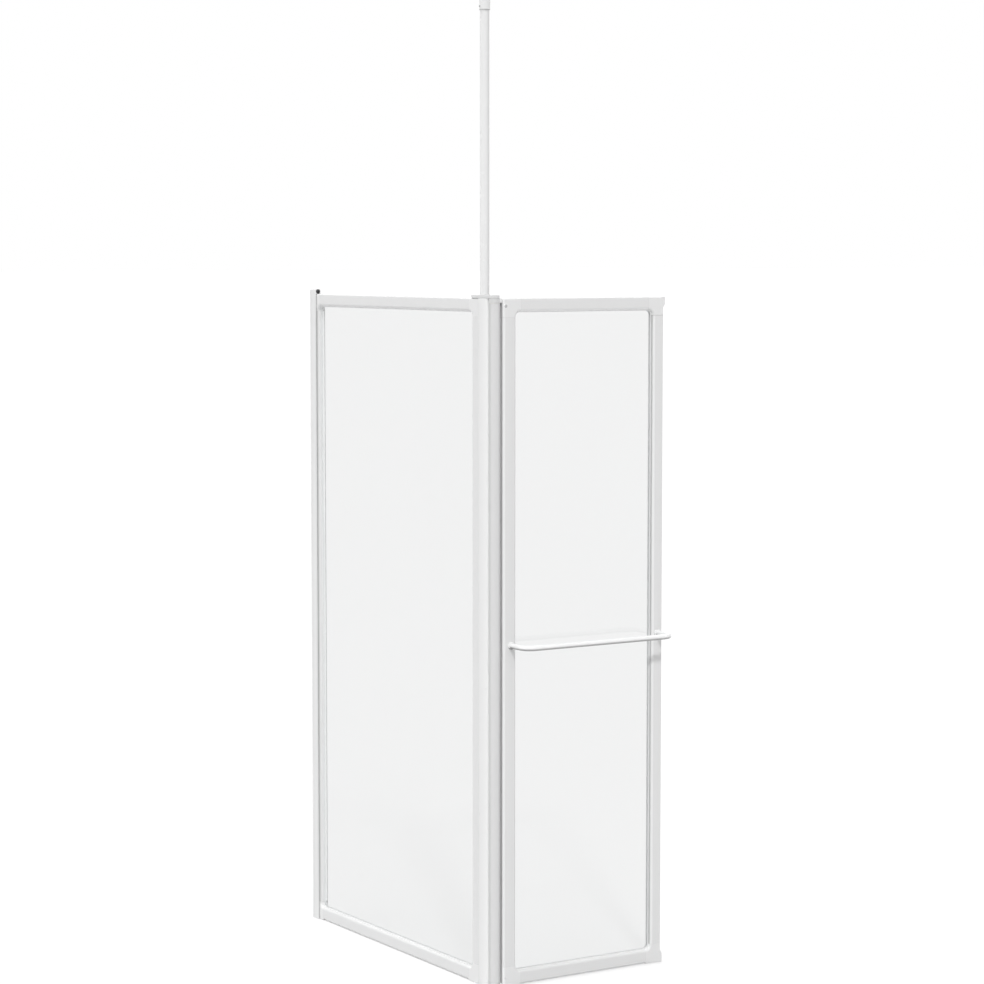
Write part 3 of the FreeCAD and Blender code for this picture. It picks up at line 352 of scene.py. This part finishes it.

# The bands of a coat scale its colour along an axis of the piece, as stops of place and share; they
# paint light and shade into the coats
postCoat = dict(whiteCoat, roughness=0.30, bands=[
    # Painted light and shade across the box, the groove beside it and the hinge barrel: the box
    # grows lighter toward its edge, a painted highlight, and the groove and barrel carry painted
    # shade
    {"axis": "X", "stops": [
        (0.7480, 1.04), (0.7700, 1.10), (0.7810, 1.15), (0.7845, 1.10), (0.7868, 0.98),
        (0.7890, 0.80), (0.7935, 0.78), (0.7962, 0.80), (0.7990, 0.89), (0.8020, 0.91),
    ]},
    # Painted shade on the barrel's side toward the return
    {"axis": "Y", "stops": [
        (0.0010, 1.00), (0.0045, 0.93), (0.0095, 0.85), (0.0108, 0.88), (0.0118, 1.00),
    ]},
])
poleCoat = dict(whiteCoat, color=grey(0.858), roughness=0.26, bands=[
    # Painted shade on the pole's +Y side
    {"axis": "Y", "stops": [(-0.0012, 1.00), (0.0012, 0.92)]},
])
socketCoat = dict(whiteCoat, color=grey(0.85), roughness=0.28, bands=[
    # Painted shade along the mouth's edge
    {"axis": "Z", "stops": [(2.1115, 0.60), (2.1128, 0.65), (2.1136, 1.00)]},
])
railCoat = dict(whiteCoat, color=grey(0.94), roughness=0.24, glossDrift=0.05, bands=[
    # Painted shade on the tube's underside
    {"axis": "Z", "stops": [(0.7460, 0.34), (0.7485, 0.42), (0.7502, 0.66), (0.7520, 1.00)]},
])
footCoat = dict(whiteMoulding, color=grey(0.96), roughness=0.24, bands=[
    # Painted shade on the lower part of each foot
    {"axis": "Z", "stops": [(0.7440, 0.38), (0.7472, 0.44), (0.7490, 1.00)]},
])
capCoat = dict(whiteMoulding, bands=[
    # Painted shade along the rim
    {"axis": "Z", "stops": [
        (1.4990, 0.96), (1.5000, 0.79), (1.5018, 0.84), (1.5035, 0.92), (1.5050, 0.78),
        (1.5070, 0.74),
    ]},
])
hingeCornerCoat = dict(whiteMoulding, bands=[
    # Painted shade on the arm over the barrel, like the barrel's, and a painted highlight on the
    # nose
    {"axis": "Y", "stops": [(0.0090, 0.86), (0.0112, 1.09), (0.0175, 1.09), (0.0205, 1.00)]},
])
lowCornerCoat = dict(whiteMoulding, bands=[
    # The same painted shade over the barrel, and a brighter painted highlight on the nose
    {"axis": "Y", "stops": [(0.0090, 0.86), (0.0112, 1.16), (0.0180, 1.16), (0.0215, 1.00)]},
])
wallCornerCoat = dict(whiteMoulding, bands=[
    # The shade in the channel's mouth
    {"axis": "X", "stops": [(0.0262, 1.00), (0.0268, 0.70), (0.0300, 0.70), (0.0306, 1.00)]},
])
channelCoat = dict(whiteCoat, bands=[
    # Painted light and shade in strips across the channel's face, darker at its mouth
    {"axis": "X", "stops": [
        (0.0010, 1.05), (0.0070, 1.00), (0.0130, 1.04), (0.0210, 1.06), (0.0268, 0.97),
    ]},
])
# Painted light: the gasket and the wall stile's side glow faintly in the corner behind the pane
paintedJambGlow = 0.30
fixedStrip = dict(glazingStrip, glow={"strength": paintedJambGlow, "bands": [
    {"axis": "X", "stops": [(0.0343, 1.00), (0.0356, 0.00)]},
    {"axis": "Y", "stops": [(-0.0025, 0.00), (-0.0015, 1.00)]},
]})
wallCorner = filmMaterial("wallCornerCoat", wallCornerCoat)
nodeMaterials = {
    "wall_channel": filmMaterial("channelCoat", channelCoat),
    "fixed_corner_top_wall": wallCorner,
    "fixed_corner_bottom_wall": wallCorner,
    "fixed_pane": glassMaterial("fixedGlass", fixedGlass),
    "fixed_pane_gasket": filmMaterial("fixedStrip", fixedStrip),
    "corner_post": filmMaterial("postCoat", postCoat),
    "post_top_cap": filmMaterial("capCoat", capCoat),
    "ceiling_pole": filmMaterial("poleCoat", poleCoat),
    "ceiling_socket": filmMaterial("socketCoat", socketCoat),
    "return_hinge_corner_top": filmMaterial("hingeCornerCoat", hingeCornerCoat),
    "return_hinge_corner_bottom": filmMaterial("lowCornerCoat", lowCornerCoat),
    "towel_rail": filmMaterial("railCoat", railCoat),
    "rail_feet": filmMaterial("footCoat", footCoat),
}

# A frame member runs along its axis and has a thin line of painted shade where it meets each
# moulding
plainSeamShade = {"share": 0.60, "reach": 0.0003}
deepSeamShade = {"share": 0.20, "reach": 0.0010}
memberLooks = {
    "fixed_wall_stile": {"axis": "Z", "bands": [
        # Painted shade in the channel's mouth, and painted light on the side of the opening
        {"axis": "X", "stops": [
            (0.0262, 1.00), (0.0268, 0.66), (0.0300, 0.66), (0.0306, 1.00), (0.0316, 1.00),
            (0.0320, 1.20),
        ]},
        # Painted shade on the stile in front of the pane, so that the part behind it looks lighter
        {"axis": "Y", "stops": [(-0.0050, 0.92), (-0.0020, 1.00)]},
    # Painted light: the side of the opening behind the pane glows, most toward the back
    ], "glow": {"strength": paintedJambGlow, "bands": [
        {"axis": "X", "stops": [(0.0285, 0.00), (0.0300, 1.00)]},
        {"axis": "Y", "stops": [
            (-0.0020, 0.00), (0.0000, 1.00), (0.0070, 1.00), (0.0090, 1.50), (0.0110, 1.50),
            (0.0118, 0.00),
        ]},
    ]}},
    "fixed_post_stile": {"axis": "Z"},
    "fixed_top_rail": {"axis": "X", "bands": [
        # Painted light on the rail's lower edge
        {"axis": "Z", "stops": [(1.4738, 1.10), (1.4750, 1.00)]},
    ]},
    "fixed_bottom_rail": {"axis": "X", "bands": [
        # Painted light on the rail's lowest edge
        {"axis": "Z", "stops": [(0.0060, 1.08), (0.0075, 1.00)]},
    ]},
    "return_hinge_stile": {"axis": "Z", "bands": [
        # Painted highlight on the nose
        {"axis": "Y", "stops": [(0.0145, 1.12), (0.0178, 1.12), (0.0212, 1.00)]},
    ]},
    # A deeper painted shadow under the free stile's top moulding
    "return_free_stile": {"axis": "Z", "topSeamShade": deepSeamShade, "bands": [
        # Painted shade deep in the side of the opening and a painted highlight on its rounded edge
        {"axis": "Y", "stops": [
            (0.4070, 0.68), (0.4075, 0.76), (0.4085, 1.12), (0.4115, 1.12), (0.4135, 1.00),
        ]},
    ]},
    "return_top_rail": {"axis": "Y", "bands": [
        # Painted light on the rail's lower edge
        {"axis": "Z", "stops": [(1.4738, 1.22), (1.4752, 1.00)]},
    ]},
    "return_bottom_rail": {"axis": "Y", "bands": [
        # Painted light on the rail's lowest edge
        {"axis": "Z", "stops": [(0.0090, 1.22), (0.0108, 1.00)]},
    ]},
}


def memberCoat(member, look):
    low, high = [corner["XYZ".index(look["axis"])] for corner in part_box(member)]
    lowSeamShade, topSeamShade = plainSeamShade, look.get("topSeamShade", plainSeamShade)
    # Painted shade at both ends, where the member meets its mouldings
    seamShade = {"axis": look["axis"], "stops": [
        (low, lowSeamShade["share"]), (low + lowSeamShade["reach"], 1.0),
        (high - topSeamShade["reach"], 1.0), (high, topSeamShade["share"]),
    ]}
    coat = dict(whiteCoat, bands=look.get("bands", []) + [seamShade])
    if "glow" in look:
        coat["glow"] = look["glow"]
    return coat


for member, look in memberLooks.items():
    nodeMaterials[member] = filmMaterial(member + "Coat", memberCoat(member, look))
for part in frame["record"]["subparts"]:
    mesh = nodes[part["node"]].data
    mesh.materials.clear()
    mesh.materials.append(nodeMaterials.get(part["node"], slotMaterials[part["material_slot"]]))
print("finishes made,", len(slotMaterials), "for slots and", len(nodeMaterials), "for single nodes")


# Screws, turned about Z in millimetres with the head upward, then set along their own axis

millimetre = 0.001
screwMesh = {"weld": 0.001, "sharpAngle": 35.0}
# Crown, rim and flat seat of a pan head, as shares of its radius and its height
headCurve = [
    (0.0, 1.0), (0.30, 0.985), (0.58, 0.90), (0.80, 0.70),
    (0.94, 0.40), (1.0, 0.16), (1.0, 0.04), (0.97, 0.0),
]
# The neck's width and the point's height are shares of the radius, the crest's ends of the pitch
threadForm = {
    "neckWidth": 0.84, "neckHeight": -0.4, "crestStart": 0.45, "crestEnd": 0.60, "pointHeight": 0.6,
}
# How far a cutter stands over the head, and how much narrower a cross is at its foot
cutterForm = {"over": 0.02, "taper": 0.55}


def turnedBlank(profile, sides):
    bm = bmesh.new()
    rim = [bm.verts.new((radius, 0.0, height)) for radius, height in profile]
    line = [bm.edges.new(pair) for pair in zip(rim, rim[1:])]
    bmesh.ops.spin(bm, geom=rim + line, cent=(0.0, 0.0, 0.0), axis=(0.0, 0.0, 1.0),
                   dvec=(0.0, 0.0, 0.0), angle=2 * pi, steps=sides, use_merge=True,
                   use_duplicate=False)
    bmesh.ops.remove_doubles(bm, verts=bm.verts, dist=screwMesh["weld"])
    bmesh.ops.recalc_face_normals(bm, faces=bm.faces)
    return bm


def panHead(radius, height):
    return [(radius * out, height * up) for out, up in headCurve]


def threadedShank(radius, depth, end, pitch):
    # Ridges from just under the head to a short point
    height = threadForm["neckHeight"]
    points = [(radius * threadForm["neckWidth"], height)]
    while height - pitch > end + radius:
        points += [
            (radius, height - pitch * threadForm["crestStart"]),
            (radius, height - pitch * threadForm["crestEnd"]),
            (radius - depth, height - pitch),
        ]
        height -= pitch
    return points + [(radius - depth, end + radius * threadForm["pointHeight"]), (0.0, end)]


def crossTools(reach, width, top, depth):
    tools = []
    middle = top - depth / 2
    for size in ((reach, width, depth), (width, reach, depth)):
        bm = bmesh.new()
        bmesh.ops.create_cube(bm, size=1.0)
        bmesh.ops.scale(bm, verts=bm.verts, vec=size)
        bmesh.ops.translate(bm, verts=bm.verts, vec=(0.0, 0.0, middle + cutterForm["over"]))
        for vert in bm.verts:
            if vert.co.z < middle:
                vert.co.x *= cutterForm["taper"]
                vert.co.y *= cutterForm["taper"]
        tools.append(bm)
    return tools


def hexTools(across, top, depth):
    bm = bmesh.new()
    radius = across / 3 ** 0.5  # to the corners, from the width across the flats
    bmesh.ops.create_cone(bm, cap_ends=True, segments=6, radius1=radius, radius2=radius,
                          depth=depth)
    bmesh.ops.translate(bm, verts=bm.verts, vec=(0.0, 0.0, top - depth / 2 + cutterForm["over"]))
    return [bm]


def carved(blank, tools):
    # The blank less each tool, by exact Booleans
    things = []
    for number, source in enumerate([blank] + tools):
        name = f"blank{number}"
        things.append(addObject(name, meshFrom(source, name)))
    for tool in things[1:]:
        cut = things[0].modifiers.new(tool.name, "BOOLEAN")
        cut.operation = "DIFFERENCE"
        cut.solver = "EXACT"
        cut.object = tool
    result = bmesh.new()
    result.from_object(things[0], bpy.context.evaluated_depsgraph_get())
    for thing in things:
        bpy.data.objects.remove(thing)
    return result


def makeScrews(look, profile, tools):
    # One piece for all the screws of a node; each seat is a place in millimetres and a finish
    single = carved(turnedBlank(profile, look["sides"]), tools)
    upward, outward = Vector((0.0, 0.0, 1.0)), Vector(look["outward"])
    turn = upward.rotation_difference(outward).to_matrix().to_4x4()
    whole = bmesh.new()
    for place, finish in look["seats"]:
        copy = single.copy()
        bmesh.ops.transform(copy, matrix=Matrix.Translation(place) @ turn, verts=copy.verts)
        for face in copy.faces:
            face.material_index = finish
            face.smooth = True
        part = meshFrom(copy, "part")
        whole.from_mesh(part)
        bpy.data.meshes.remove(part)
    single.free()
    bmesh.ops.scale(whole, verts=whole.verts, vec=(millimetre, millimetre, millimetre))
    bmesh.ops.remove_doubles(whole, verts=whole.verts, dist=screwMesh["weld"] * millimetre)
    bmesh.ops.recalc_face_normals(whole, faces=whole.faces)
    mesh = meshFrom(whole, look["name"])
    mesh.set_sharp_from_angle(angle=radians(screwMesh["sharpAngle"]))
    for finish in look["finishes"]:
        mesh.materials.append(slotMaterials[finish])
    piece = addObject(look["name"], mesh)
    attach(piece, look["body"])
    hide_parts(look["node"])


def makeCrossScrews(look):
    head, shank = look["head"], look["shank"]
    profile = panHead(**head) + [(shank["radius"], 0.0)] + threadedShank(**shank)
    makeScrews(look, profile, crossTools(top=head["height"], **look["recess"]))


blockScrew = {
    "name": "blockScrew", "node": "channel_block_screw", "body": "wall_side",
    "slot": "black_screw", "finishes": ["black_screw"], "sides": 48,
    "head": {"radius": 5.3, "height": 3.4},
    "shank": {"radius": 2.5, "depth": 0.4, "end": -20.0, "pitch": 1.0},
    "recess": {"reach": 5.4, "width": 1.2, "depth": 2.2},
    "outward": (1.0, 0.0, 0.0), "seats": [((28.0, -7.65, 1505.8), 0)],
}
cornerScrews = {
    "name": "cornerScrews", "node": "hinge_corner_screws", "body": "return_panel",
    "slot": "bright_steel", "finishes": ["bright_steel", "white_moulding"], "sides": 48,
    "head": {"radius": 3.8, "height": 0.8},
    "shank": {"radius": 2.0, "depth": 0.3, "end": -9.0, "pitch": 0.8},
    "recess": {"reach": 4.0, "width": 0.9, "depth": 1.1},
    "outward": (1.0, 0.0, 0.0), "seats": [((807.0, 21.0, 1484.0), 0), ((807.0, 21.0, 23.0), 1)],
}
railScrews = {
    "name": "railScrews", "node": "rail_screws", "body": "return_panel",
    "slot": "bright_steel", "finishes": ["bright_steel"], "sides": 48,
    "head": {"radius": 4.5, "height": 2.4},
    "shank": {"radius": 2.5, "depth": 0.4, "end": -35.0, "pitch": 1.0},
    "recess": {"reach": 4.8, "width": 1.1, "depth": 1.8},
    "outward": (-1.0, 0.0, 0.0), "seats": [((783.0, 34.5, 752.0), 0), ((783.0, 421.0, 752.0), 0)],
}
grubScrew = {
    "name": "grubScrew", "node": "ceiling_grub_screw", "body": "ceiling_fixing",
    "slot": "bright_steel", "finishes": ["bright_steel"], "sides": 36,
    "profile": [(0.0, 0.0), (1.75, 0.0), (2.0, -0.25), (2.0, -2.6), (1.3, -3.3), (0.0, -3.3)],
    "recess": {"across": 2.0, "top": 0.0, "depth": 1.8},
    "outward": (0.0, -1.0, 0.0), "seats": [((755.7, -13.4, 2119.5), 0)],
}
for look in (blockScrew, cornerScrews, railScrews):
    makeCrossScrews(look)
makeScrews(grubScrew, grubScrew["profile"], hexTools(**grubScrew["recess"]))
print("screws made")


# Stage

# Rays by which the camera sees something, directly, in a reflection or through a pane
seenRays = ("Is Camera Ray", "Is Glossy Ray", "Is Transmission Ray")
# The floor looks paler to these rays than the light that it throws back
floorLook = {"half": 200.0, "drop": 0.0004, "bounce": 0.7, "seenShade": 0.22, "glow": 0.79}


def makeFloor(look):
    bm = bmesh.new()
    bmesh.ops.create_grid(bm, x_segments=1, y_segments=1, size=look["half"])
    bmesh.ops.translate(bm, verts=bm.verts, vec=(0.0, 0.0, -look["drop"]))
    floor = addObject("floor", meshFrom(bm, "floor"))
    material = bpy.data.materials.new("paleFloor")
    material.use_nodes = True
    tree = material.node_tree
    tree.nodes.clear()
    seen = rayMask(tree, *seenRays)
    glow = addNode(tree, "ShaderNodeEmission", {
        "Strength": mathValue(tree, "MULTIPLY", seen, look["glow"]),
    })
    bounce, shade = opaque(grey(look["bounce"])), opaque(grey(look["seenShade"]))
    matt = addNode(tree, "ShaderNodeBsdfDiffuse", {
        "Color": mixedColor(tree, seen, bounce, shade),
    })
    both = addNode(tree, "ShaderNodeAddShader", {0: glow.outputs[0], 1: matt.outputs[0]})
    addNode(tree, "ShaderNodeOutputMaterial", {"Surface": both.outputs[0]})
    floor.data.materials.append(material)


# A white background, and the much lower level at which the world lights the object
worldLook = {"color": grey(1.0), "seen": 1.0, "ambient": 0.17}


def makeWorld(look):
    world = bpy.data.worlds.new("studio")
    bpy.context.scene.world = world
    world.use_nodes = True
    tree = world.node_tree
    tree.nodes.clear()
    strength = addNode(tree, "ShaderNodeMapRange", {
        "Value": rayMask(tree, *seenRays), "To Min": look["ambient"], "To Max": look["seen"],
    })
    back = addNode(tree, "ShaderNodeBackground", {
        "Color": opaque(look["color"]), "Strength": strength.outputs["Result"],
    })
    addNode(tree, "ShaderNodeOutputWorld", {"Surface": back.outputs[0]})


def directionFrom(look):
    # Azimuth is counted from -Y toward +X, for the lamps and for the camera
    azimuth, elevation = radians(look["azimuth"]), radians(look["elevation"])
    return Vector((
        sin(azimuth) * cos(elevation), -cos(azimuth) * cos(elevation), sin(elevation),
    ))


def aimedObject(name, data, place, toward):
    holder = addObject(name, data)
    holder.location = place
    holder.rotation_mode = "QUATERNION"
    holder.rotation_quaternion = (-toward).to_track_quat("-Z", "Y")
    return holder


lampDistance = 4.0
lamps = {
    "key": {"azimuth": 65.0, "elevation": 40.0, "strength": 1.04, "spread": 5.0},
    "leftSoft": {"azimuth": -24.0, "elevation": 54.0, "strength": 1.80, "spread": 70.0},
    "rightSoft": {"azimuth": 100.0, "elevation": 54.0, "strength": 0.84, "spread": 80.0},
    "backSoft": {"azimuth": 235.0, "elevation": 40.0, "strength": 0.60, "spread": 60.0},
}


def makeLamp(name, look):
    lamp = bpy.data.lights.new(name, "SUN")
    lamp.energy = look["strength"]
    lamp.angle = radians(look["spread"])
    toward = directionFrom(look)
    holder = aimedObject(name, lamp, toward * lampDistance, toward)
    # From a low side the panes would otherwise show the lamp itself
    holder.visible_transmission = False


cameraSpot = {
    "place": (5.8932, -3.2263, 1.5999), "azimuth": 57.724, "elevation": 4.8714,
    "lens": 103.246, "sensor": 36.0,
}


def makeCamera(spot):
    camera = bpy.data.cameras.new("camera")
    camera.sensor_width = spot["sensor"]
    camera.lens = spot["lens"]
    bpy.context.scene.camera = aimedObject("camera", camera, spot["place"], directionFrom(spot))


makeFloor(floorLook)
makeWorld(worldLook)
for name, look in lamps.items():
    makeLamp(name, look)
makeCamera(cameraSpot)
bpy.context.scene.view_settings.view_transform = "Standard"
print("stage made")
